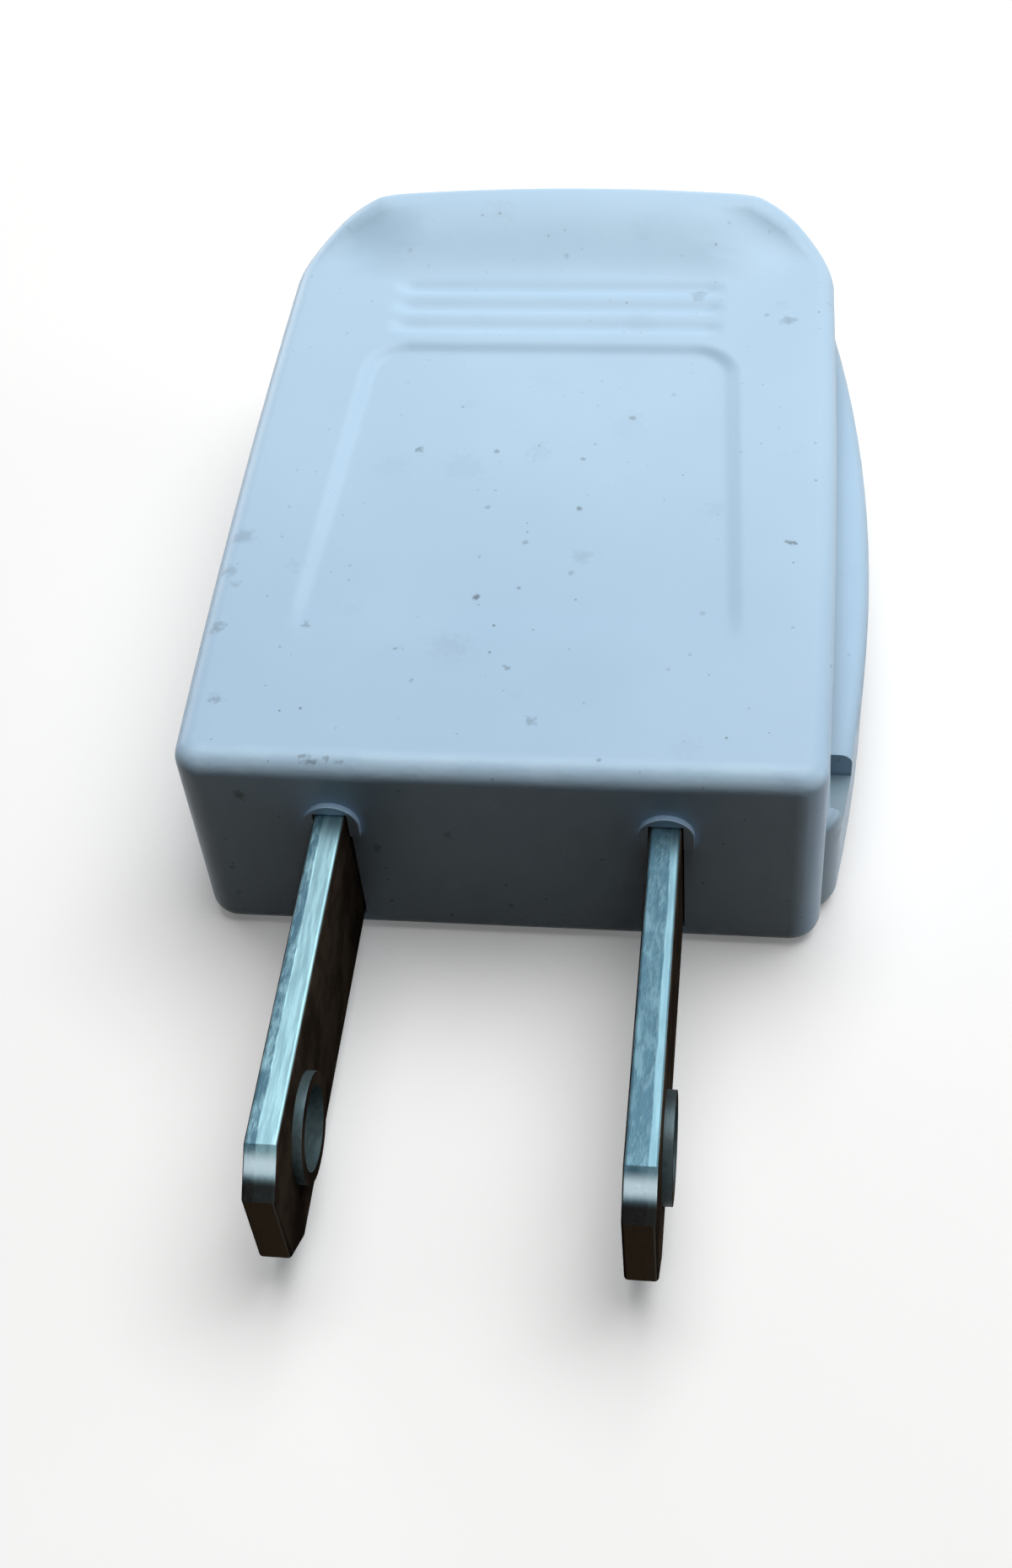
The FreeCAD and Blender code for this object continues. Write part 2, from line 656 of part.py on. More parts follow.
def make_blade(name, side):
    # One stamped strip: flat blade in front, then a notch that lets the terminal tab fold outwards.
    body = new_body(name)
    outline = new_sketch(body, name + "_outline", "YZ")
    add_outline(outline, [
        ("-blade_length", "-tip_width / 2"),
        ("tip_length - blade_length", "-blade_width / 2"),
        ("flange_thickness", "-blade_width / 2"),
        ("flange_thickness", "-tail_drop"),
        (TAB_END, "-tail_drop"),
        (TAB_END, "tab_height"),
        (FOLD_START, "tab_height"),
        (FOLD_START, RELIEF_FLOOR),
        (TAB_START, RELIEF_FLOOR),
        (TAB_START, "blade_width / 2"),
        ("tip_length - blade_length", "blade_width / 2"),
        ("-blade_length", "tip_width / 2"),
    ])
    pad(body, name + "_strip", outline, "blade_thickness", both_sides=True)
    shoulder = value("tip_length - blade_length") + NEAR
    round_edges(body, name + "_edges", "blade_edge_radius",
                lambda edge: edge.BoundBox.XLength < NEAR and edge.BoundBox.YMin < shoulder)
    tab = new_sketch(body, name + "_tab_outline", "XY", TAB_FLOOR)
    reach = f"{side} * (blade_thickness / 2 + tab_reach)"
    add_box(tab, *(("0", reach) if side > 0 else (reach, "0")), FOLD_START, TAB_END)
    pad(body, name + "_tab", tab, "blade_thickness")
    round_edges(body, name + "_tab_corners", "tab_corner_radius",
                lambda edge: is_upright(edge) and abs(edge.CenterOfMass.x - value(reach)) < NEAR)

    def along_fold(edge, x, z):
        spot = edge.CenterOfMass
        whole = edge.BoundBox.YLength > value("tab_length") - NEAR
        return whole and abs(spot.x - x) + abs(spot.z - z) < NEAR

    round_edges(body, name + "_fold_inside", "bend_radius",
                lambda edge: along_fold(edge, value(f"{side} * blade_thickness / 2"), value(TAB_FLOOR)))
    round_edges(body, name + "_fold_outside", "bend_radius + blade_thickness",
                lambda edge: along_fold(edge, value(f"-{side} * blade_thickness / 2"), value("tab_height")))
    screw = new_sketch(body, name + "_screw_round", "XY", TAB_FLOOR)
    add_circle(screw, f"{side} * {TERMINAL_OFFSET}", TERMINAL_Y, "(terminal_thread + thread_clearance) / 2")
    pocket(body, name + "_screw_hole", screw, "blade_thickness", backwards=True)
    collar = new_sketch(body, name + "_collar_round", "YZ", "blade_thickness / 2")
    add_circle(collar, "-hole_distance", "0", "hole_diameter / 2 + collar_wall")
    pad(body, name + "_collar", collar, "collar_height")
    hole = new_sketch(body, name + "_hole_round", "YZ")
    add_circle(hole, "-hole_distance", "0", "hole_diameter / 2")
    pocket(body, name + "_hole", hole, "2 * (blade_thickness + collar_height)", both_sides=True)
    bind(body, "Placement.Base.x", f"{side} * {BLADE_X}")
    return body


def make_screw(name, head_diameter, head_height, thread, reach):
    # Bevelled head below, shank above, turned about the upright axis, with a slot for the driver.
    body = new_body(name)
    profile = new_sketch(body, name + "_profile", "XZ")
    add_outline(profile, [
        ("0", f"-{head_height}"),
        (f"{head_diameter} / 2 - {head_height} / 2", f"-{head_height}"),
        (f"{head_diameter} / 2", f"-{head_height} / 2"),
        (f"{head_diameter} / 2", "0"),
        (f"{thread} / 2", "0"),
        (f"{thread} / 2", f"{reach} - {thread} / 4"),
        (f"{thread} / 4", reach),
        ("0", reach),
    ])
    turned = body.newObject("PartDesign::Revolution", name + "_turned")
    turned.Profile = profile
    turned.ReferenceAxis = (profile, ["V_Axis"])
    turned.Angle = 360
    settle(turned)
    slot = new_sketch(body, name + "_slot_outline", "XY", f"-{head_height}")
    add_box(slot, f"-{head_diameter}", head_diameter, "-driver_slot_width / 2", "driver_slot_width / 2")
    pocket(body, name + "_slot", slot, "driver_slot_depth", backwards=True)
    return body


def make_washer(name):
    body = new_body(name)
    ring = new_sketch(body, name + "_ring", "XY")
    add_circle(ring, "0", "0", "washer_diameter / 2")
    add_circle(ring, "0", "0", "(terminal_thread + thread_clearance) / 2")
    pad(body, name + "_plate", ring, "washer_thickness")
    return body


def make_case_nut():
    body = new_body("case_nut")
    square = new_sketch(body, "nut_square", "XY")
    add_box(square, "-nut_width / 2", "nut_width / 2", "-nut_width / 2", "nut_width / 2")
    add_circle(square, "0", "0", "(case_thread + thread_clearance) / 2")
    pad(body, "nut_plate", square, "nut_thickness")
    round_edges(body, "nut_corners", "nut_corner",
                lambda edge: is_upright(edge) and abs(edge.CenterOfMass.x) > value("nut_width / 2") - NEAR)
    return body


def make_cord_clamp():
    body = new_body("cord_clamp")
    bar = new_sketch(body, "bar_outline", "XY")
    end = "(clamp_length / 2 - clamp_width / 2)"
    add_outline(bar, [
        (f"-{end}", "-clamp_width / 2"),
        (end, "-clamp_width / 2", "clamp_length / 2", "0"),
        (end, "clamp_width / 2"),
        (f"-{end}", "clamp_width / 2", "-clamp_length / 2", "0"),
    ])
    for side in (-1, 1):
        add_circle(bar, f"{side} * clamp_spacing / 2", "0", "clamp_thread / 2 + thread_clearance")
    pad(body, "bar", bar, "clamp_thickness")
    hollow = new_sketch(body, "saddle_round", "XZ")
    add_circle(hollow, "0", "clamp_thickness - clamp_saddle_depth + clamp_saddle_radius",
               "clamp_saddle_radius")
    pocket(body, "cord_saddle", hollow, "clamp_width * 2", both_sides=True)
    return body


def set_place(body, x, y, z):
    for axis, expression in (("x", x), ("y", y), ("z", z)):
        bind(body, "Placement.Base." + axis, expression)
    return body


def make_pieces():
    pieces = [make_upper_shell(), make_lower_shell()]
    for label, side in (("left", -1), ("right", 1)):
        x = f"{side} * {TERMINAL_X}"
        seat = f"{TAB_FLOOR} - washer_thickness"
        pieces.append(make_blade(f"blade_{label}", side))
        pieces.append(set_place(make_washer(f"terminal_washer_{label}"), x, TERMINAL_Y, seat))
        screw = make_screw(f"terminal_screw_{label}", "terminal_head_diameter", "terminal_head_height",
                           "terminal_thread", "(washer_thickness + blade_thickness + terminal_tip)")
        pieces.append(set_place(screw, x, TERMINAL_Y, seat))
        screw = make_screw(f"clamp_screw_{label}", "clamp_head_diameter", "clamp_head_height",
                           "clamp_thread", "clamp_screw_reach")
        pieces.append(set_place(screw, f"{side} * clamp_spacing / 2", "clamp_position", CLAMP_FLOOR))
    screw = make_screw("case_screw", "case_head_diameter", "case_head_height", "case_thread",
                       f"({NUT_FLOOR} + nut_thickness - {CASE_HEAD_SEAT})")
    pieces.append(set_place(screw, "0", "case_position", CASE_HEAD_SEAT))
    pieces.append(set_place(make_case_nut(), "0", "case_position", NUT_FLOOR))
    pieces.append(set_place(make_cord_clamp(), "0", "clamp_position", CLAMP_FLOOR))
    return pieces


pieces = make_pieces()
doc.recompute()
for item in doc.Objects:
    if "Invalid" in item.State or "Error" in item.State:
        raise ValueError(f"{item.Label} failed: {item.State}")
for piece in pieces:
    if piece.Shape.isNull() or not piece.Shape.isValid() or len(piece.Shape.Solids) != 1:
        raise ValueError(f"{piece.Label} is not one valid solid")

os.makedirs("parts", exist_ok=True)
for piece in pieces:
    piece.Shape.exportStep(f"parts/{piece.Label}.step")
    print(piece.Label, round(piece.Shape.Volume, 1))
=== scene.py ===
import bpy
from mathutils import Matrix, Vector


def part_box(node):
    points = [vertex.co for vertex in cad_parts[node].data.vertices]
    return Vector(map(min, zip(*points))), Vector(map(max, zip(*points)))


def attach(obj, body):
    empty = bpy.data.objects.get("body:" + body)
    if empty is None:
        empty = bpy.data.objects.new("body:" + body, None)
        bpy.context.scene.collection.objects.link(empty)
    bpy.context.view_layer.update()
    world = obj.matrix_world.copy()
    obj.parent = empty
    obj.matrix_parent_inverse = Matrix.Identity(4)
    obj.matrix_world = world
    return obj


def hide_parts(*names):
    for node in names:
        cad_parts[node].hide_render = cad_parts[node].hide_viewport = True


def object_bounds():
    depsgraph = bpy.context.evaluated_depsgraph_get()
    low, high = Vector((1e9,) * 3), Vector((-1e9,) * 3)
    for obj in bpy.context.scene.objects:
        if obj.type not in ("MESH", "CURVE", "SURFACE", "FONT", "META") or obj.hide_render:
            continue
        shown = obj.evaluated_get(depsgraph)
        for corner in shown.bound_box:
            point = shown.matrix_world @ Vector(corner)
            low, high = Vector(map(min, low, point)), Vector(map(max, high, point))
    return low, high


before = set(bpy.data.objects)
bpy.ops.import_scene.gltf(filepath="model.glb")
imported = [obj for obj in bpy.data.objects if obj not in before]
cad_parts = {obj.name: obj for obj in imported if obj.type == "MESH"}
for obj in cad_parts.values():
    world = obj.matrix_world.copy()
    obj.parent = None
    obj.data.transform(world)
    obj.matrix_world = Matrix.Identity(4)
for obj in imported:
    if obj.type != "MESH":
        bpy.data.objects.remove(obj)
cadBox = [list(corner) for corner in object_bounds()]

from math import cos, pi, radians, sin

import bmesh
import bpy
import numpy as np
from mathutils import Matrix, Vector
from mathutils.geometry import delaunay_2d_cdt

millimetre = 0.001
scene = bpy.context.scene
print("frame loaded:", len(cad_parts), "nodes")

# Camera of the photograph: where it stands, what it looks at and how far it is tipped over
view = {
    "place": (9.79, -48.90, 62.46),
    "target": (-0.32, 4.32, 0.0),
    "rollDegrees": -6.15,
    "lens": 47.47,
}


def makeCamera():
    place = Vector(view["place"]) * millimetre
    look = (Vector(view["target"]) * millimetre - place).normalized()
    level = look.cross(Vector((0, 0, 1))).normalized()
    roll = radians(view["rollDegrees"])
    right = level * cos(roll) + level.cross(look) * sin(roll)
    turn = Matrix((right, right.cross(look), -look)).transposed()
    lens = bpy.data.cameras.new("camera")
    lens.lens = view["lens"]
    lens.clip_start = millimetre
    camera = bpy.data.objects.new("camera", lens)
    camera.matrix_world = Matrix.Translation(place) @ turn.to_4x4()
    scene.collection.objects.link(camera)
    scene.camera = camera


makeCamera()
print("camera placed")


# Small helpers for shader trees
noiseMiddle = 0.5


def addNode(tree, kind, **settings):
    node = tree.nodes.new(kind)
    for name, setting in settings.items():
        setattr(node, name, setting)
    return node


def feed(tree, socket, source):
    # a number or colour is set on the socket, a socket is linked to it
    if isinstance(source, bpy.types.NodeSocket):
        tree.links.new(source, socket)
    else:
        socket.default_value = source


def feedAll(tree, node, sources):
    for name, source in sources.items():
        feed(tree, node.inputs[name], source)


def calc(tree, operation, first, second=0.0, third=0.0):
    node = addNode(tree, "ShaderNodeMath", operation=operation)
    for socket, source in zip(node.inputs, (first, second, third)):
        feed(tree, socket, source)
    return node.outputs[0]


def product(tree, first, *others):
    for other in others:
        first = calc(tree, "MULTIPLY", first, other)
    return first


def ramp(tree, source, low, high, start=0.0, end=1.0):
    # smooth step from start to end while source goes from low to high
    node = addNode(tree, "ShaderNodeMapRange", interpolation_type="SMOOTHSTEP")
    feedAll(tree, node, {"Value": source, "From Min": low, "From Max": high, "To Min": start, "To Max": end})
    return node.outputs[0]


def band(tree, source, places):
    # 1 between the two inner places, running out to 0 at the two outer ones
    outerLow, innerLow, innerHigh, outerHigh = places
    return product(tree, ramp(tree, source, outerLow, innerLow), ramp(tree, source, outerHigh, innerHigh))


def blend(tree, share, first, second):
    node = addNode(tree, "ShaderNodeMix", data_type="RGBA")
    feedAll(tree, node, {"Factor": share, "A": first, "B": second})
    return node.outputs["Result"]


def noise(tree, place, scale, detail=3.0, roughness=0.5):
    node = addNode(tree, "ShaderNodeTexNoise")
    feedAll(tree, node, {"Vector": place, "Scale": scale, "Detail": detail, "Roughness": roughness})
    return node.outputs["Fac"]


def mottle(tree, place, scale, detail, span, share=(0.0, 1.0), roughness=0.5):
    # noise whose span is spread out to a share from the first number to the second
    return ramp(tree, noise(tree, place, scale, detail, roughness), *span, *share)


def axesOf(tree, vector):
    node = addNode(tree, "ShaderNodeSeparateXYZ")
    feed(tree, node.inputs[0], vector)
    return node.outputs


def faceNormal(tree):
    return axesOf(tree, addNode(tree, "ShaderNodeNewGeometry").outputs["Normal"])


def placeInMillimetres(tree, alongY=1.0):
    # a small alongY draws a pattern out lengthways
    coords = addNode(tree, "ShaderNodeTexCoord")
    mapping = addNode(tree, "ShaderNodeMapping")
    mapping.inputs["Scale"].default_value = [share / millimetre for share in (1.0, alongY, 1.0)]
    feed(tree, mapping.inputs["Vector"], coords.outputs["Object"])
    return mapping.outputs["Vector"]


def placeOnFace(tree, place):
    # the two coordinates that run along a face: x and y on top, x and z in front, y and z at a side
    turned = 0.6  # a face looks along an axis when its normal has more than this share of it
    axes = axesOf(tree, place)
    facing = faceNormal(tree)
    sideways = calc(tree, "GREATER_THAN", calc(tree, "ABSOLUTE", facing["X"]), turned)
    upward = calc(tree, "GREATER_THAN", calc(tree, "ABSOLUTE", facing["Z"]), turned)
    across = calc(tree, "SUBTRACT", axes["Y"], axes["X"])
    along = calc(tree, "SUBTRACT", axes["Y"], axes["Z"])
    joined = addNode(tree, "ShaderNodeCombineXYZ")
    feed(tree, joined.inputs["X"], calc(tree, "MULTIPLY_ADD", sideways, across, axes["X"]))
    feed(tree, joined.inputs["Y"], calc(tree, "MULTIPLY_ADD", upward, along, axes["Z"]))
    return joined.outputs[0]


def newGroup(name, vectors, floats):
    # a group with these inputs and one output, Mask
    group = bpy.data.node_groups.new(name, "ShaderNodeTree")
    for kind, titles in (("NodeSocketVector", vectors), ("NodeSocketFloat", floats)):
        for title in titles:
            group.interface.new_socket(name=title, in_out="INPUT", socket_type=kind)
    group.interface.new_socket(name="Mask", in_out="OUTPUT", socket_type="NodeSocketFloat")
    start = group.nodes.new("NodeGroupInput")
    end = group.nodes.new("NodeGroupOutput")
    return group, start.outputs, end.inputs["Mask"]


def maskFrom(tree, group, **sources):
    node = addNode(tree, "ShaderNodeGroup", node_tree=group)
    feedAll(tree, node, sources)
    return node.outputs["Mask"]


# Marks of use that the materials share
markLook = {
    "bendScale": 3.0,  # of the noise that makes outlines ragged
    "smallest": 0.4,  # a speck measures this share of Size, and up to 1 more
    "speckCore": 0.3,  # share of a speck's reach that has its full tone
    "markCore": 0.25,
    "lineDetail": 4.0,
    "lineRoughness": 0.6,
    "lineLimit": 0.74,  # noise above this is a line
    "lineLowering": 0.2,  # how far Amount lowers the limit
    "lineSoft": 0.08,
    "patchScale": 0.11,  # as a share of Scale
    "patchDetail": 2.0,
    "patchSpan": (0.42, 0.62),
}


def bendPlace(tree, place, amount):
    # the place pushed about by a fine noise, so that outlines come out ragged
    wander = addNode(tree, "ShaderNodeTexNoise")
    feedAll(tree, wander, {"Vector": place, "Scale": markLook["bendScale"]})
    centred = addNode(tree, "ShaderNodeVectorMath", operation="SUBTRACT")
    feed(tree, centred.inputs[0], wander.outputs["Color"])
    centred.inputs[1].default_value = (noiseMiddle, noiseMiddle, noiseMiddle)
    pushed = addNode(tree, "ShaderNodeVectorMath", operation="SCALE")
    feed(tree, pushed.inputs[0], centred.outputs[0])
    feed(tree, pushed.inputs["Scale"], amount)
    moved = addNode(tree, "ShaderNodeVectorMath", operation="ADD")
    feed(tree, moved.inputs[0], place)
    feed(tree, moved.inputs[1], pushed.outputs[0])
    return moved.outputs[0]


def makeSpeckGroup():
    # Small round marks on a face: one in each cell of a random cell pattern, kept where the cell's
    # own random number is under Share, and soft at its rim. Ragged bends the outline.
    group, given, mask = newGroup("specks", ("Place",), ("Scale", "Share", "Size", "Ragged"))
    cells = addNode(group, "ShaderNodeTexVoronoi", voronoi_dimensions="2D")
    feed(group, cells.inputs["Vector"], bendPlace(group, given["Place"], given["Ragged"]))
    feed(group, cells.inputs["Scale"], given["Scale"])
    draw = addNode(group, "ShaderNodeSeparateColor")
    feed(group, draw.inputs[0], cells.outputs["Color"])
    kept = calc(group, "LESS_THAN", draw.outputs[0], given["Share"])
    size = product(group, given["Size"], calc(group, "ADD", draw.outputs[1], markLook["smallest"]))
    distance = calc(group, "DIVIDE", cells.outputs["Distance"], given["Scale"])
    dot = ramp(group, calc(group, "DIVIDE", distance, size), 1.0, markLook["speckCore"])
    feed(group, mask, product(group, dot, kept))
    return group


def makeMarkGroup():
    # One mark about Centre that fades out at Reach and is as dark as Tone in its middle.
    group, given, mask = newGroup("mark", ("Place", "Centre"), ("Reach", "Tone"))
    apart = addNode(group, "ShaderNodeVectorMath", operation="DISTANCE")
    feed(group, apart.inputs[0], given["Place"])
    feed(group, apart.inputs[1], given["Centre"])
    share = calc(group, "DIVIDE", apart.outputs["Value"], given["Reach"])
    feed(group, mask, product(group, ramp(group, share, 1.0, markLook["markCore"]), given["Tone"]))
    return group


def makeScuffGroup():
    # Fine lines: noise that is stretched along one axis, kept where it is high, and broken up by
    # a broad noise so that the lines come and go.
    look = markLook
    group, given, mask = newGroup("scuffs", ("Place",), ("Scale", "Amount"))
    lines = noise(group, given["Place"], given["Scale"], look["lineDetail"], look["lineRoughness"])
    broad = product(group, given["Scale"], look["patchScale"])
    patches = mottle(group, given["Place"], broad, look["patchDetail"], look["patchSpan"])
    limit = calc(group, "SUBTRACT", look["lineLimit"], product(group, given["Amount"], look["lineLowering"]))
    kept = ramp(group, lines, limit, calc(group, "ADD", limit, look["lineSoft"]))
    feed(group, mask, product(group, kept, patches))
    return group


speckGroup = makeSpeckGroup()
markGroup = makeMarkGroup()
scuffGroup = makeScuffGroup()


def newMaterial(name):
    material = bpy.data.materials.new(name)
    material.use_nodes = True
    tree = material.node_tree
    shader = tree.nodes["Principled BSDF"]
    return material, tree, shader


def setBump(tree, shader, height, depth):
    # depth is how far, in millimetres, a height of 1 stands out
    bump = addNode(tree, "ShaderNodeBump")
    bump.inputs["Distance"].default_value = depth * millimetre
    feed(tree, bump.inputs["Height"], height)
    feed(tree, shader.inputs["Normal"], bump.outputs["Normal"])


# Places and reaches in mm
plasticLook = {
    "clean": (0.525, 0.735, 0.925, 1.0),
    "greyed": (0.425, 0.615, 0.805, 1.0),
    "greyedReach": 24.0,
    "greyedShare": (0.15, 0.95),  # behind that reach and at the front face
    "clouds": {"scale": 0.12, "detail": 3.0, "span": (0.3, 0.7), "share": (-0.12, 0.12)},
    # painted highlight along the front of the top where it rounds over
    "crestHighlight": (0.56, 0.77, 0.95, 1.0),
    "crestPlace": (1.1, 0.5),
    "crestLevel": (4.9, 5.25),
    "crestHighlightPatches": {"scale": 0.35, "detail": 4.0, "span": (0.3, 0.6), "share": (0.4, 0.9)},
    "dirtPatches": {"scale": 0.22, "detail": 2.0, "span": (0.45, 0.62), "share": (0.35, 1.0)},
    "cleanerRear": 0.6,  # how much of the dirt follows the greyed tone
    "smudge": (0.20, 0.27, 0.33, 1.0),
    "smudges": {"Scale": 0.30, "Share": 0.30, "Size": 0.85, "Ragged": 2.2},
    "smudgeTone": 0.14,
    "markBend": 0.8,
    "speck": (0.05, 0.055, 0.06, 1.0),
    "smallSpecks": {"Scale": 0.55, "Share": 0.13, "Size": 0.15, "Ragged": 0.2},
    "tinySpecks": {"Scale": 1.3, "Share": 0.10, "Size": 0.075, "Ragged": 0.1},
    "speckTone": 0.8,
    # painted shade: the base is darker along the foot of the case, and darker still in the notches
    "footShade": (0.30, 0.40, 0.48, 1.0),
    "footShadeSide": (12.05, 12.35),  # it begins at the foot of the case
    "footShadeFade": (13.25, 12.35),
    "footShadeShare": (0.25, 0.75),
    "footShadeLevel": (1.8, 1.5),
    "notchShade": (0.22, 0.31, 0.36, 1.0),
    "notchSide": (12.0, 12.3),
    "notchPlace": (1.9, 2.7, 5.2, 5.5),
    "notchLevel": (-0.35, -0.05, 0.15, 0.35),
    "notchTone": 0.85,
    "roughness": 0.29,
    "glossScale": 0.7,
    "glossDetail": 4.0,
    "glossRange": 0.14,
    "smudgeRoughness": 0.3,
    "shine": 0.25,
    "grainScale": 7.0,
    "grainShare": 0.35,
    "swellScale": 1.1,
    "grainDetail": 2.0,
    "grainDepth": 0.010,
}
# Marks that stand out on the top and the front face: place in mm, reach in mm and tone
plasticMarks = (
    (-5.0, 17.6, 5.80, 0.26, 0.75),
    (10.6, 12.3, 5.99, 0.30, 0.85),
    (-11.5, 12.0, 5.97, 0.60, 0.36),
    (-11.8, 10.1, 5.92, 0.45, 0.36),
    (-11.3, 9.3, 5.91, 0.30, 0.30),
    (-11.6, 6.9, 5.85, 0.42, 0.50),
    (-11.0, 3.2, 5.74, 0.34, 0.50),
    (-7.2, 0.5, 5.52, 0.22, 0.60),
    (-6.8, 0.4, 5.50, 0.26, 0.70),
    (-6.3, 0.45, 5.51, 0.24, 0.60),
    (-5.7, 0.4, 5.50, 0.18, 0.45),
    (-8.2, 7.3, 5.82, 0.26, 0.60),
    (-4.4, 6.0, 5.78, 0.24, 0.65),
    (0.0, 5.3, 5.75, 0.20, 0.60),
    (1.2, 2.6, 5.68, 0.30, 0.50),
    (2.4, 11.5, 5.80, 0.55, 0.22),
    (6.3, 27.9, 6.35, 0.55, 0.35),
    (10.3, 26.1, 6.38, 0.45, 0.45),
    (-7.2, 34.2, 7.80, 0.50, 0.50),
    (-9.7, 0.0, 3.9, 0.36, 0.80),
    (-4.8, 0.0, 1.0, 0.24, 0.70),
    (-2.0, 0.0, 2.0, 0.28, 0.60),
)


def makePlastic():
    look = plasticLook
    material, tree, shader = newMaterial("coolWhitePlastic")
    place = placeInMillimetres(tree)
    onFace = placeOnFace(tree, place)
    axes = axesOf(tree, place)
    aside = calc(tree, "ABSOLUTE", axes["X"])
    # the tone greys towards the front
    towardsFront = ramp(tree, axes["Y"], look["greyedReach"], 0.0, *look["greyedShare"])
    greying = calc(tree, "ADD", towardsFront, mottle(tree, place, **look["clouds"]))
    colour = blend(tree, greying, look["clean"], look["greyed"])
    # painted highlight: the front of the top is drawn lighter where it rounds over
    wearAndHighlight = product(
        tree,
        ramp(tree, axes["Y"], *look["crestPlace"]),
        ramp(tree, axes["Z"], *look["crestLevel"]),
        mottle(tree, place, **look["crestHighlightPatches"]),
    )
    colour = blend(tree, wearAndHighlight, colour, look["crestHighlight"])
    # smudges, single marks and specks
    follow = look["cleanerRear"]
    weight = calc(tree, "MULTIPLY_ADD", towardsFront, follow, 1.0 - follow)
    weight = product(tree, weight, mottle(tree, place, **look["dirtPatches"]))
    smudges = maskFrom(tree, speckGroup, Place=onFace, **look["smudges"])
    smudges = product(tree, smudges, weight, look["smudgeTone"])
    bent = bendPlace(tree, place, look["markBend"])
    for x, y, z, reach, tone in plasticMarks:
        mark = maskFrom(tree, markGroup, Place=bent, Centre=(x, y, z), Reach=reach, Tone=tone)
        smudges = calc(tree, "MAXIMUM", smudges, mark)
    colour = blend(tree, smudges, colour, look["smudge"])
    small = maskFrom(tree, speckGroup, Place=onFace, **look["smallSpecks"])
    tiny = maskFrom(tree, speckGroup, Place=onFace, **look["tinySpecks"])
    specks = product(tree, calc(tree, "MAXIMUM", small, tiny), weight, look["speckTone"])
    # painted shade on the base along the foot of the case, and darker painted shade in the notches
    onBase = product(
        tree,
        ramp(tree, axes["Z"], *look["footShadeLevel"]),
        ramp(tree, aside, *look["footShadeFade"], *look["footShadeShare"]),
        ramp(tree, aside, *look["footShadeSide"]),
    )
    colour = blend(tree, onBase, colour, look["footShade"])
    inNotch = product(
        tree,
        band(tree, axes["Z"], look["notchLevel"]),
        band(tree, axes["Y"], look["notchPlace"]),
        ramp(tree, aside, *look["notchSide"], 0.0, look["notchTone"]),
    )
    colour = blend(tree, inNotch, colour, look["notchShade"])
    feed(tree, shader.inputs["Base Color"], blend(tree, specks, colour, look["speck"]))
    gloss = product(tree, noise(tree, place, look["glossScale"], look["glossDetail"]), look["glossRange"])
    rough = calc(tree, "ADD", gloss, look["roughness"])
    rough = calc(tree, "MULTIPLY_ADD", smudges, look["smudgeRoughness"], rough)
    feed(tree, shader.inputs["Roughness"], rough)
    shader.inputs["Specular IOR Level"].default_value = look["shine"]
    grain = noise(tree, place, look["grainScale"], look["grainDetail"])
    swell = noise(tree, place, look["swellScale"], look["grainDetail"])
    height = calc(tree, "MULTIPLY_ADD", grain, look["grainShare"], swell)
    setBump(tree, shader, height, look["grainDepth"])
    return material


# Places and reaches in mm, those of the tip counted from its end
bladeLook = {
    "bright": (0.190, 0.320, 0.360, 1.0),
    "torn": (0.042, 0.090, 0.122, 1.0),
    "wanderScale": 1.2,
    "wanderReach": 0.16,
    "splitSoft": 0.04,
    "tornAlong": 0.3,
    "tornPatches": {"scale": 3.0, "detail": 5.0, "roughness": 0.65, "span": (0.38, 0.66)},
    "tornTone": 0.55,
    "streakAlong": 0.12,
    "streaks": {"scale": 5.0, "detail": 3.0, "span": (0.3, 0.7)},
    "streakTone": 0.4,
    # painted reflection: the faces' dark brown, with tarnish as its darker patches, stands in for the dark
    # surroundings the metal reflects
    "face": (0.060, 0.046, 0.034, 1.0),
    "faceTurn": (0.55, 0.8),
    "tarnishAndDarkReflection": (0.024, 0.018, 0.014, 1.0),
    "stains": {"scale": 0.35, "detail": 4.0, "roughness": 0.6, "span": (0.36, 0.62)},
    "wearAndHighlight": (0.12, 0.11, 0.10, 1.0),
    "scuffAlong": 0.06,
    "scuffs": {"Scale": 6.0, "Amount": 0.6},
    "scuffTone": 0.35,
    # half of the faces' painted reflection lies on the collar and in the hole
    "holePlace": -11.9,
    "holeReach": (2.5, 2.3),
    "holeTone": 0.55,
    # painted highlight where the tip slopes down
    "glint": (0.55, 0.68, 0.74, 1.0),
    "glintPlace": 0.95,
    "glintReach": (0.45, 0.05),
    "glintTone": 0.75,
    # painted light: a lighter grey on the tip's forward-facing end face, which gets little light; the slope
    # beside it is painted dark with the tarnish tone
    "tip": (0.42, 0.42, 0.40, 1.0),
    "tipReach": (0.75, 0.40),
    "tipTurn": (-0.80, -0.95),
    "tipTone": 0.9,
    "tornRoughness": 0.46,
    "brightRoughness": 0.34,
    "scuffRoughness": 0.14,
    "faceShine": 0.0,
    "streakShare": 0.25,
    "tornDepth": 0.012,
}
# For each blade the middle of its thickness, where its smooth strip begins and how much darker its edge is;
# that darkening is painted shade on the right blade
bladeEdges = {
    "blade_left": {"middle": -6.35, "split": -0.18, "darker": 0.0},
    "blade_right": {"middle": 6.35, "split": 0.26, "darker": 0.55},
}


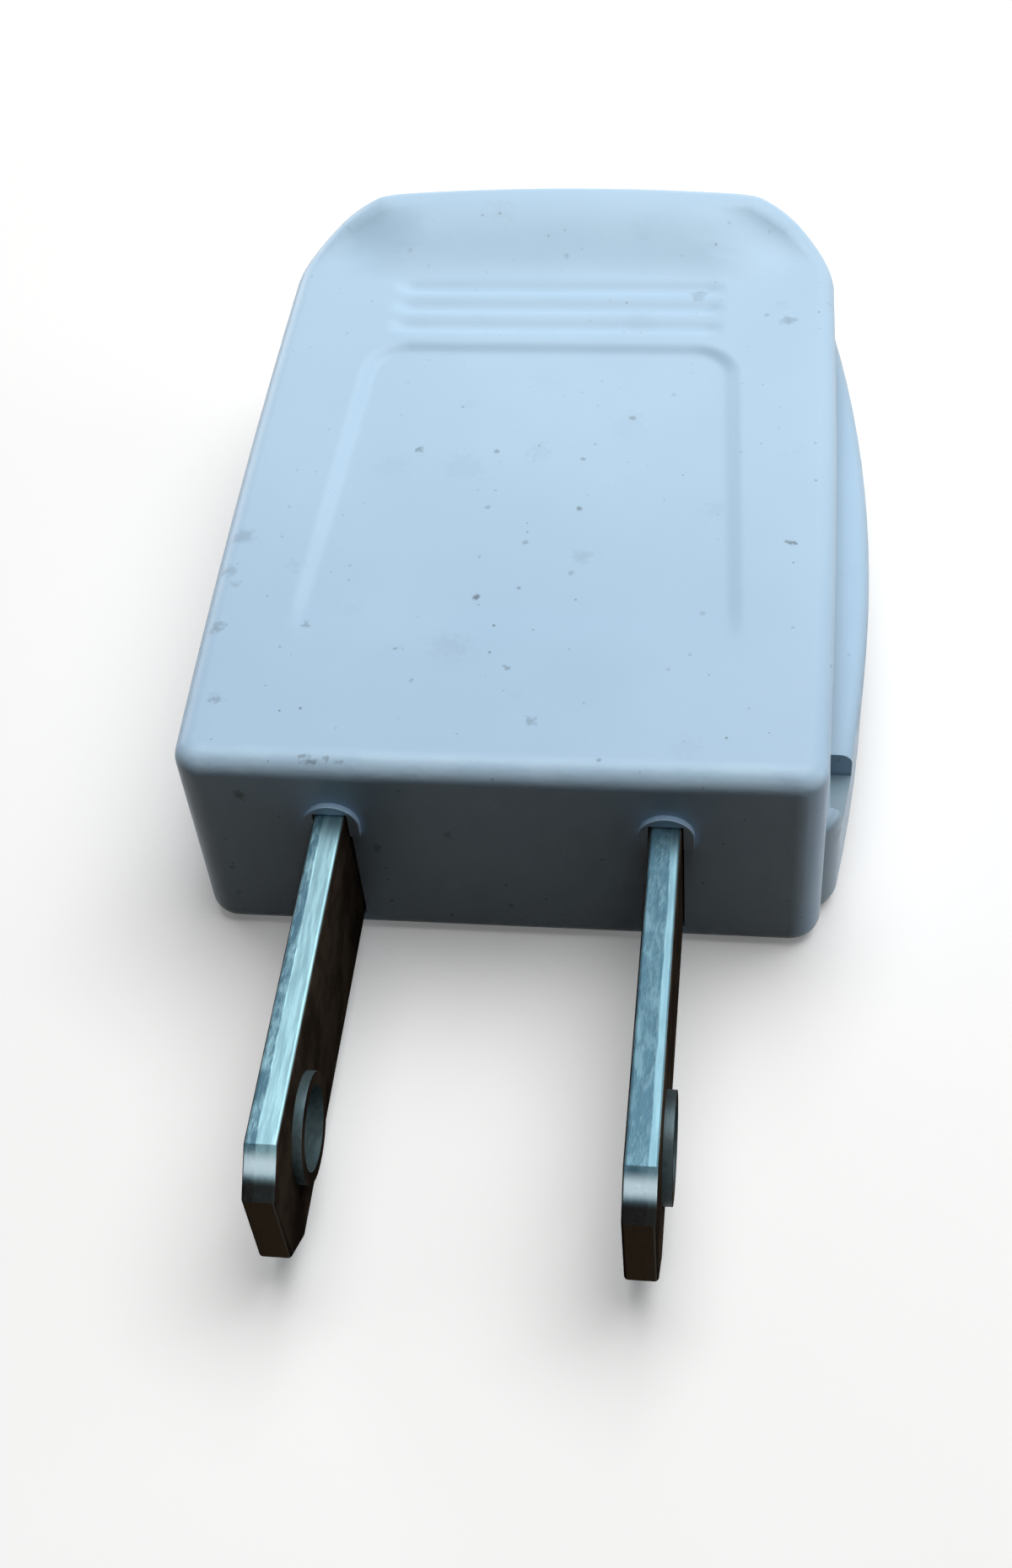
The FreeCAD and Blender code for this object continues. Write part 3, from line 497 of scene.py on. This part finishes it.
def makeBladeMetal(node):
    # The blanked edge has a smooth bright strip towards +X and a torn one beside it, a painted highlight
    # where the tip slopes down, and painted light and shade at its end. The faces carry a painted dark brown
    # reflection with darker patches.
    look = bladeLook
    edge = bladeEdges[node]
    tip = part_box(node)[0].y / millimetre
    material, tree, shader = newMaterial(node + "_nickel")
    place = placeInMillimetres(tree)
    axes = axesOf(tree, place)
    normal = faceNormal(tree)
    # the blanked edge with its two strips
    drawnOut = placeInMillimetres(tree, look["tornAlong"])
    wander = calc(tree, "SUBTRACT", noise(tree, drawnOut, look["wanderScale"]), noiseMiddle)
    wander = product(tree, wander, look["wanderReach"])
    across = calc(tree, "ADD", calc(tree, "SUBTRACT", axes["X"], edge["middle"]), wander)
    smooth = ramp(tree, across, edge["split"] - look["splitSoft"], edge["split"] + look["splitSoft"])
    torn = mottle(tree, drawnOut, **look["tornPatches"])
    tornColour = blend(tree, product(tree, torn, look["tornTone"]), look["torn"], look["bright"])
    streaks = mottle(tree, placeInMillimetres(tree, look["streakAlong"]), **look["streaks"])
    brightColour = blend(tree, product(tree, streaks, look["streakTone"]), look["bright"], look["torn"])
    edgeColour = blend(tree, smooth, tornColour, brightColour)
    # painted shade: the right blade's edge is drawn darker than the left's
    edgeColour = blend(tree, edge["darker"], edgeColour, look["torn"])
    # painted highlight where the tip slopes down, and painted light and shade at its end
    fromGlint = calc(tree, "ABSOLUTE", calc(tree, "SUBTRACT", axes["Y"], tip + look["glintPlace"]))
    atGlint = ramp(tree, fromGlint, *look["glintReach"], 0.0, look["glintTone"])
    edgeColour = blend(tree, atGlint, edgeColour, look["glint"])
    onTip = ramp(tree, axes["Y"], *(tip + reach for reach in look["tipReach"]))
    tipPaintedTone = blend(tree, ramp(tree, normal["Y"], *look["tipTurn"]), look["tarnishAndDarkReflection"], look["tip"])
    edgeColour = blend(tree, product(tree, onTip, look["tipTone"]), edgeColour, tipPaintedTone)
    # painted reflection: the faces get a dark brown, non-metal colour for the dark surroundings they
    # reflect, and about half of their tone on the collar and in the hole
    facing = ramp(tree, calc(tree, "ABSOLUTE", normal["X"]), *look["faceTurn"])
    offHole = calc(tree, "SUBTRACT", axes["Y"], look["holePlace"])
    squares = calc(tree, "MULTIPLY_ADD", offHole, offHole, product(tree, axes["Z"], axes["Z"]))
    aboutHole = ramp(tree, calc(tree, "SQRT", squares), *look["holeReach"], 0.0, look["holeTone"])
    onFace = calc(tree, "MAXIMUM", facing, aboutHole)
    faceReflectionAndMarks = blend(tree, mottle(tree, place, **look["stains"]), look["face"], look["tarnishAndDarkReflection"])
    scratched = placeInMillimetres(tree, look["scuffAlong"])
    scuffs = maskFrom(tree, scuffGroup, Place=scratched, **look["scuffs"])
    faceReflectionAndMarks = blend(tree, product(tree, scuffs, look["scuffTone"]), faceReflectionAndMarks, look["wearAndHighlight"])
    feed(tree, shader.inputs["Base Color"], blend(tree, onFace, edgeColour, faceReflectionAndMarks))
    dull = calc(tree, "MAXIMUM", onFace, onTip)
    feed(tree, shader.inputs["Metallic"], calc(tree, "SUBTRACT", 1.0, dull))
    shader.inputs["Specular IOR Level"].default_value = look["faceShine"]
    rough = ramp(tree, smooth, 0.0, 1.0, look["tornRoughness"], look["brightRoughness"])
    rough = calc(tree, "MULTIPLY_ADD", scuffs, look["scuffRoughness"], rough)
    feed(tree, shader.inputs["Roughness"], rough)
    rugged = product(tree, calc(tree, "SUBTRACT", 1.0, smooth), torn)
    height = calc(tree, "MULTIPLY_ADD", streaks, look["streakShare"], rugged)
    setBump(tree, shader, height, look["tornDepth"])
    return material


screwLook = {
    "zinc": (0.56, 0.57, 0.56, 1.0),
    "dull": (0.33, 0.33, 0.31, 1.0),
    "dullPatches": {"scale": 0.9, "detail": 4.0, "roughness": 0.6, "span": (0.4, 0.7)},
    "roughness": 0.33,
    "dullRoughness": 0.2,
    "scuffAlong": 0.15,
    "scuffs": {"Scale": 7.0, "Amount": 0.7},
    "scuffDepth": -0.01,
}


def makeZinc():
    look = screwLook
    material, tree, shader = newMaterial("zincPlate")
    dull = mottle(tree, placeInMillimetres(tree), **look["dullPatches"])
    feed(tree, shader.inputs["Base Color"], blend(tree, dull, look["zinc"], look["dull"]))
    shader.inputs["Metallic"].default_value = 1.0
    rough = calc(tree, "MULTIPLY_ADD", dull, look["dullRoughness"], look["roughness"])
    feed(tree, shader.inputs["Roughness"], rough)
    scratched = placeInMillimetres(tree, look["scuffAlong"])
    scuffs = maskFrom(tree, scuffGroup, Place=scratched, **look["scuffs"])
    setBump(tree, shader, scuffs, look["scuffDepth"])
    return material


plastic = makePlastic()
bladeMetals = {node: makeBladeMetal(node) for node in bladeEdges}
zinc = makeZinc()
print("materials made")

# The upper shell's top as the photograph has it (mm): a stretch with the panel and the grooves that
# is laid anew with soft edges, and a scoop that rises to the lip more softly than the solid's
softTop = {
    "halfWidth": 10.6,
    "front": 1.7,
    "rear": 30.3,
    "skin": 0.7,  # how far below the cone a point still belongs to the top
    "step": 0.15,
    "rimGap": 0.7,  # from the rim to the first point of the grid, in steps
    "nearest": 1e-6,  # two points of the grid closer than this count as one
    "cutNear": 1e-5,  # and a point closer than this to a cut lies on it
    "frontLevel": 5.6,
    "rise": 0.9 / 30.9,
    "turnPlace": -36.22,
    "scoopFoot": 29.3,
    "scoopHead": 33.5,
    "scoopLean": 0.85,
    "scoopEnd": (10.4, 6.5),
    "solidFoot": 30.85,
    "crestEnd": 33.75,
    "lipLevel": 7.85,
    "sampleHalf": 6.0,  # the solid's scoop is read from its points this near the middle
    "ringDigits": 3,
    "panelDepth": 0.29,
    "panelFront": 6.0,
    "panelRear": 24.2,
    "panelFrontHalf": 8.6,
    "panelRearHalf": 7.8,
    "panelRadius": 1.6,
    "panelWall": (-0.25, 0.42),
    "panelFade": 3.0,
    "panelFrontShare": 0.35,
    "grooveCount": 3,
    "grooveFirst": 25.65,
    "groovePitch": 1.35,
    "grooveHalf": 7.6,
    "grooveDepth": 0.19,
    "grooveSoft": 0.38,
    "grooveEnd": 1.0,
}


def smoothStep(share):
    share = np.clip(share, 0.0, 1.0)
    return share * share * (3.0 - 2.0 * share)


def turnRadius(x, y):
    # distance from the cone's upright axis, which stands in front of the plug, less that to the front face
    return np.hypot(x, y - softTop["turnPlace"]) + softTop["turnPlace"]


def coneHeight(x, y):
    # a flat cone that rises evenly with the distance from its axis
    return softTop["frontLevel"] + softTop["rise"] * turnRadius(x, y)


def scoopHeight(x, y):
    # From the cone up to the lip by a soft step on the distance from the cone's axis. A power of
    # the share draws its steepest place towards the foot.
    look = softTop
    share = (turnRadius(x, y) - look["scoopFoot"]) / (look["scoopHead"] - look["scoopFoot"])
    rise = smoothStep(np.clip(share, 0.0, 1.0) ** look["scoopLean"])
    return coneHeight(x, y) + (look["lipLevel"] - coneHeight(x, y)) * rise


def scoopShare(x):
    # 1 over the middle of the scoop, running out to 0 before its ends
    outer, inner = softTop["scoopEnd"]
    return smoothStep((outer - np.abs(x)) / (outer - inner))


def panelDepth(x, y):
    # A soft step on the distance to the outline of a tapered panel with round corners. It fades in
    # at the front and grows deeper towards the rear.
    look = softTop
    length = look["panelRear"] - look["panelFront"]
    share = (y - look["panelFront"]) / length
    half = look["panelFrontHalf"] + (look["panelRearHalf"] - look["panelFrontHalf"]) * share
    beyondSide = np.abs(x) - half + look["panelRadius"]
    beyondEnd = np.abs(share - 0.5) * length - length / 2 + look["panelRadius"]
    outside = np.hypot(np.maximum(beyondSide, 0.0), np.maximum(beyondEnd, 0.0)) - look["panelRadius"]
    outside = outside + np.minimum(np.maximum(beyondSide, beyondEnd), 0.0)
    inner, outer = look["panelWall"]
    sunk = smoothStep((outer - outside) / (outer - inner))
    fade = smoothStep((y - look["panelFront"]) / look["panelFade"])
    deeper = look["panelFrontShare"] + (1.0 - look["panelFrontShare"]) * share
    return look["panelDepth"] * sunk * fade * deeper


def grooveDepth(x, y):
    # furrows that are each a bell curve along y, with soft ends along x
    look = softTop
    ends = smoothStep((look["grooveHalf"] - np.abs(x)) / look["grooveEnd"])
    depth = np.zeros_like(y)
    for count in range(look["grooveCount"]):
        away = (y - look["grooveFirst"] - count * look["groovePitch"]) / look["grooveSoft"]
        depth = depth + look["grooveDepth"] * ends * np.exp(-away * away)
    return depth


def topHeight(x, y):
    # the cone with the foot of the scoop, less the panel and the grooves
    cone = coneHeight(x, y)
    return cone + scoopShare(x) * (scoopHeight(x, y) - cone) - panelDepth(x, y) - grooveDepth(x, y)


def softenScoop(points):
    # Each point of the top and its rounded rim moves by as much as the soft scoop stands above the
    # solid's scoop at that distance from the cone's axis.
    look = softTop
    x, y, z = points.T / millimetre
    radius = turnRadius(x, y)
    high = z > coneHeight(x, y) - look["skin"]
    inScoop = high & (radius > look["scoopFoot"]) & (radius < look["crestEnd"])
    sampled = inScoop & (np.abs(x) < look["sampleHalf"]) & (radius > look["solidFoot"])
    rings, first = np.unique(np.round(radius[sampled], look["ringDigits"]), return_index=True)
    foot = look["frontLevel"] + look["rise"] * look["scoopFoot"]
    ringLevels = np.append(foot, z[sampled][first])
    solid = np.interp(radius, np.append(look["scoopFoot"], rings), ringLevels)
    change = np.where(inScoop, scoopShare(x) * (scoopHeight(x, y) - solid), 0.0)
    print("scoop moved by", change.min().round(3), "to", change.max().round(3), "mm")
    return points + np.outer(change * millimetre, (0, 0, 1))


def isTop(face):
    return all(point.co.z / millimetre > coneHeight(*(point.co.xy / millimetre)) - softTop["skin"]
               for point in face.verts)


def cutTop(work):
    # cuts the stretch out of the top and leaves an opening
    look = softTop
    cuts = [((sign * look["halfWidth"], 0, 0), (1, 0, 0)) for sign in (-1, 1)]
    cuts += [((0, look[end], 0), (0, 1, 0)) for end in ("front", "rear")]
    for place, facing in cuts:
        faces = [face for face in work.faces if isTop(face)]
        edges = dict.fromkeys(edge for face in faces for edge in face.edges)
        points = dict.fromkeys(point for face in faces for point in face.verts)
        bmesh.ops.bisect_plane(work, geom=[*points, *edges, *faces], dist=look["cutNear"] * millimetre,
                               plane_co=Vector(place) * millimetre, plane_no=facing)
    middle = (look["front"] + look["rear"]) / 2
    inside = []
    for face in work.faces:
        centre = face.calc_center_median() / millimetre
        within = abs(centre.x) < look["halfWidth"] and abs(centre.y - middle) < look["rear"] - middle
        if within and isTop(face):
            inside.append(face)
    bmesh.ops.delete(work, geom=inside, context="FACES")


def readArray(items, name, width, kind=float):
    # one property of all points, edges or corners of a mesh, as rows
    values = np.zeros(len(items) * width, dtype=kind)
    items.foreach_get(name, values)
    return values.reshape(-1, width)


def layTop(mesh):
    # fills the opening with a grid of points at the heights of the soft top, joined to its rim
    look = softTop
    points = readArray(mesh.vertices, "co", 3) / millimetre
    edges = readArray(mesh.edges, "vertices", 2, int)
    uses = np.bincount(readArray(mesh.loops, "edge_index", 1, int).ravel(), minlength=len(edges))
    rim, border = np.unique(edges[uses == 1], return_inverse=True)
    margin = look["step"] * look["rimGap"]
    acrossLine = np.arange(-look["halfWidth"] + margin, look["halfWidth"] - margin, look["step"])
    alongLine = np.arange(look["front"] + margin, look["rear"] - margin, look["step"])
    grid = np.stack(np.meshgrid(acrossLine, alongLine), axis=-1).reshape(-1, 2)
    places = np.concatenate((points[rim, :2], grid))
    insideOnly = 1  # keeps the triangles inside the border
    _, _, triangles, origins, _, _ = delaunay_2d_cdt(
        [Vector(place) for place in places], border.reshape(-1, 2).tolist(), [], insideOnly, look["nearest"])
    heights = topHeight(places[:, 0], places[:, 1])
    points[rim, 2] = heights[:len(rim)]
    gridNumbers = np.arange(len(grid)) + len(points)
    numbers = np.concatenate((rim, gridNumbers))[[origin[0] for origin in origins]]
    laidFaces = numbers[np.array(triangles)].tolist()
    oldFaces = [list(face.vertices) for face in mesh.polygons]
    gridPoints = np.column_stack((grid, heights[len(rim):]))
    mesh.clear_geometry()
    allPoints = np.concatenate((points, gridPoints)) * millimetre
    mesh.from_pydata(allPoints.tolist(), [], oldFaces + laidFaces)
    print("top laid anew:", len(rim), "rim points,", len(laidFaces), "triangles")


def softenTop(mesh):
    work = bmesh.new()
    work.from_mesh(mesh)
    cutTop(work)
    work.to_mesh(mesh)
    work.free()
    layTop(mesh)


copyLook = {"weld": 1e-6, "sharpDegrees": 32.0, "normalWeight": 90}


def smoothCopy(node, material):
    # The node's loose triangles with equal points made one, shaded smooth except over sharp edges.
    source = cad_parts[node].data
    points = readArray(source.vertices, "co", 3)
    corners = readArray(source.loops, "vertex_index", 1, int)
    keys = np.round(points / copyLook["weld"]).astype(np.int64)
    _, first, merged = np.unique(keys, axis=0, return_index=True, return_inverse=True)
    points = points[first]
    triangles = merged.reshape(-1)[corners].reshape(-1, 3)
    proper = np.all(triangles != np.roll(triangles, 1, axis=1), axis=1)
    mesh = bpy.data.meshes.new(node + "_dressed")
    if node == "upper_shell":
        mesh.from_pydata(softenScoop(points).tolist(), [], triangles[proper].tolist())
        softenTop(mesh)
    else:
        mesh.from_pydata(points.tolist(), [], triangles[proper].tolist())
    mesh.polygons.foreach_set("use_smooth", np.ones(len(mesh.polygons), dtype=bool))
    mesh.set_sharp_from_angle(angle=radians(copyLook["sharpDegrees"]))
    mesh.update()
    piece = bpy.data.objects.new(node + "_dressed", mesh)
    scene.collection.objects.link(piece)
    weighted = piece.modifiers.new("evenNormals", "WEIGHTED_NORMAL")
    weighted.keep_sharp = True
    weighted.weight = copyLook["normalWeight"]
    mesh.materials.append(material)
    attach(piece, "root")
    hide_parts(node)
    return piece


def dressNode(node, material):
    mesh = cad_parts[node].data
    mesh.materials.clear()
    mesh.materials.append(material)


for node in ("upper_shell", "lower_shell"):
    smoothCopy(node, plastic)
for node, metal in bladeMetals.items():
    smoothCopy(node, metal)
smoothCopy("case_screw", zinc)
dressNode("cord_clamp", plastic)
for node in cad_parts:
    if node == "case_nut" or node.startswith(("terminal_", "clamp_screw")):
        dressNode(node, zinc)
print("pieces dressed")

stageLook = {
    "floorSize": 6.0,
    "floorWhite": (0.95, 0.95, 0.95, 1.0),
    "floorShade": (0.055, 0.030, 0.012, 1.0),
    "floorGlow": (0.15, 0.15, 0.15, 1.0),
    "floorRoughness": 0.9,
    "whiteFrom": 45.0,
    "whiteTo": 220.0,
    "black": (0.0, 0.0, 0.0, 1.0),
    "skyWhite": (1.0, 1.0, 1.0, 1.0),
    "skyLight": (1.0, 0.75, 0.5, 1.0),
    "skyStrength": 0.015,
}


def seenDirectly(tree):
    # 1 for rays from the camera, a mirror or a clear pane, 0 for rays that carry soft light
    path = addNode(tree, "ShaderNodeLightPath")
    share = calc(tree, "ADD", path.outputs["Is Camera Ray"], path.outputs["Is Glossy Ray"])
    share = calc(tree, "ADD", share, path.outputs["Is Transmission Ray"])
    return calc(tree, "MINIMUM", share, 1.0)


def makeFloor():
    look = stageLook
    half = look["floorSize"] / 2
    level = cadBox[0][2]
    mesh = bpy.data.meshes.new("floor")
    corners = np.array([[-half, -half], [half, -half], [half, half], [-half, half]])
    mesh.from_pydata(np.column_stack((corners, np.full(4, level))).tolist(), [], [[0, 1, 2, 3]])
    floor = bpy.data.objects.new("floor", mesh)
    scene.collection.objects.link(floor)
    material, tree, shader = newMaterial("paleFloor")
    direct = seenDirectly(tree)
    # far from the plug the floor runs out into plain white
    away = addNode(tree, "ShaderNodeVectorMath", operation="LENGTH")
    feed(tree, away.inputs[0], placeInMillimetres(tree))
    far = ramp(tree, away.outputs["Value"], look["whiteFrom"], look["whiteTo"])
    near = blend(tree, far, look["floorWhite"], look["black"])
    feed(tree, shader.inputs["Base Color"], blend(tree, direct, look["floorShade"], near))
    glow = blend(tree, far, look["floorGlow"], look["skyWhite"])
    feed(tree, shader.inputs["Emission Color"], blend(tree, direct, look["black"], glow))
    shader.inputs["Emission Strength"].default_value = 1.0
    shader.inputs["Roughness"].default_value = look["floorRoughness"]
    shader.inputs["Specular IOR Level"].default_value = 0.0
    mesh.materials.append(material)


def makeWorld():
    look = stageLook
    world = bpy.data.worlds.new("softRoom")
    scene.world = world
    world.use_nodes = True
    tree = world.node_tree
    light = tree.nodes["Background"]
    light.inputs["Color"].default_value = look["skyLight"]
    light.inputs["Strength"].default_value = look["skyStrength"]
    white = addNode(tree, "ShaderNodeBackground")
    white.inputs["Color"].default_value = look["skyWhite"]
    mixer = addNode(tree, "ShaderNodeMixShader")
    feed(tree, mixer.inputs[0], seenDirectly(tree))
    feed(tree, mixer.inputs[1], light.outputs[0])
    feed(tree, mixer.inputs[2], white.outputs[0])
    feed(tree, tree.nodes["World Output"].inputs["Surface"], mixer.outputs[0])


# Places and sizes in metres
lampTarget = (0.0, 0.012, 0.0)
lampLook = {
    "overhead": {"place": (0.06, 0.10, 0.32), "size": 0.32, "level": 1.10},
    "rightSide": {"place": (0.42, 0.06, 0.05), "size": 0.20, "level": 0.30},
    "leftSide": {"place": (-0.30, 0.30, 0.08), "size": 0.20, "level": 0.22},
}


def makeLamps():
    # level 1 lights a white face that looks at the lamp to full white
    for name, look in lampLook.items():
        offset = Vector(look["place"]) - Vector(lampTarget)
        lamp = bpy.data.lights.new(name, "AREA")
        lamp.size = look["size"]
        lamp.energy = look["level"] * pi ** 2 * offset.length_squared
        holder = bpy.data.objects.new(name, lamp)
        turn = offset.to_track_quat("Z", "Y").to_matrix().to_4x4()
        holder.matrix_world = Matrix.Translation(look["place"]) @ turn
        scene.collection.objects.link(holder)


makeFloor()
makeWorld()
makeLamps()
scene.view_settings.view_transform = "Standard"
print("stage set")
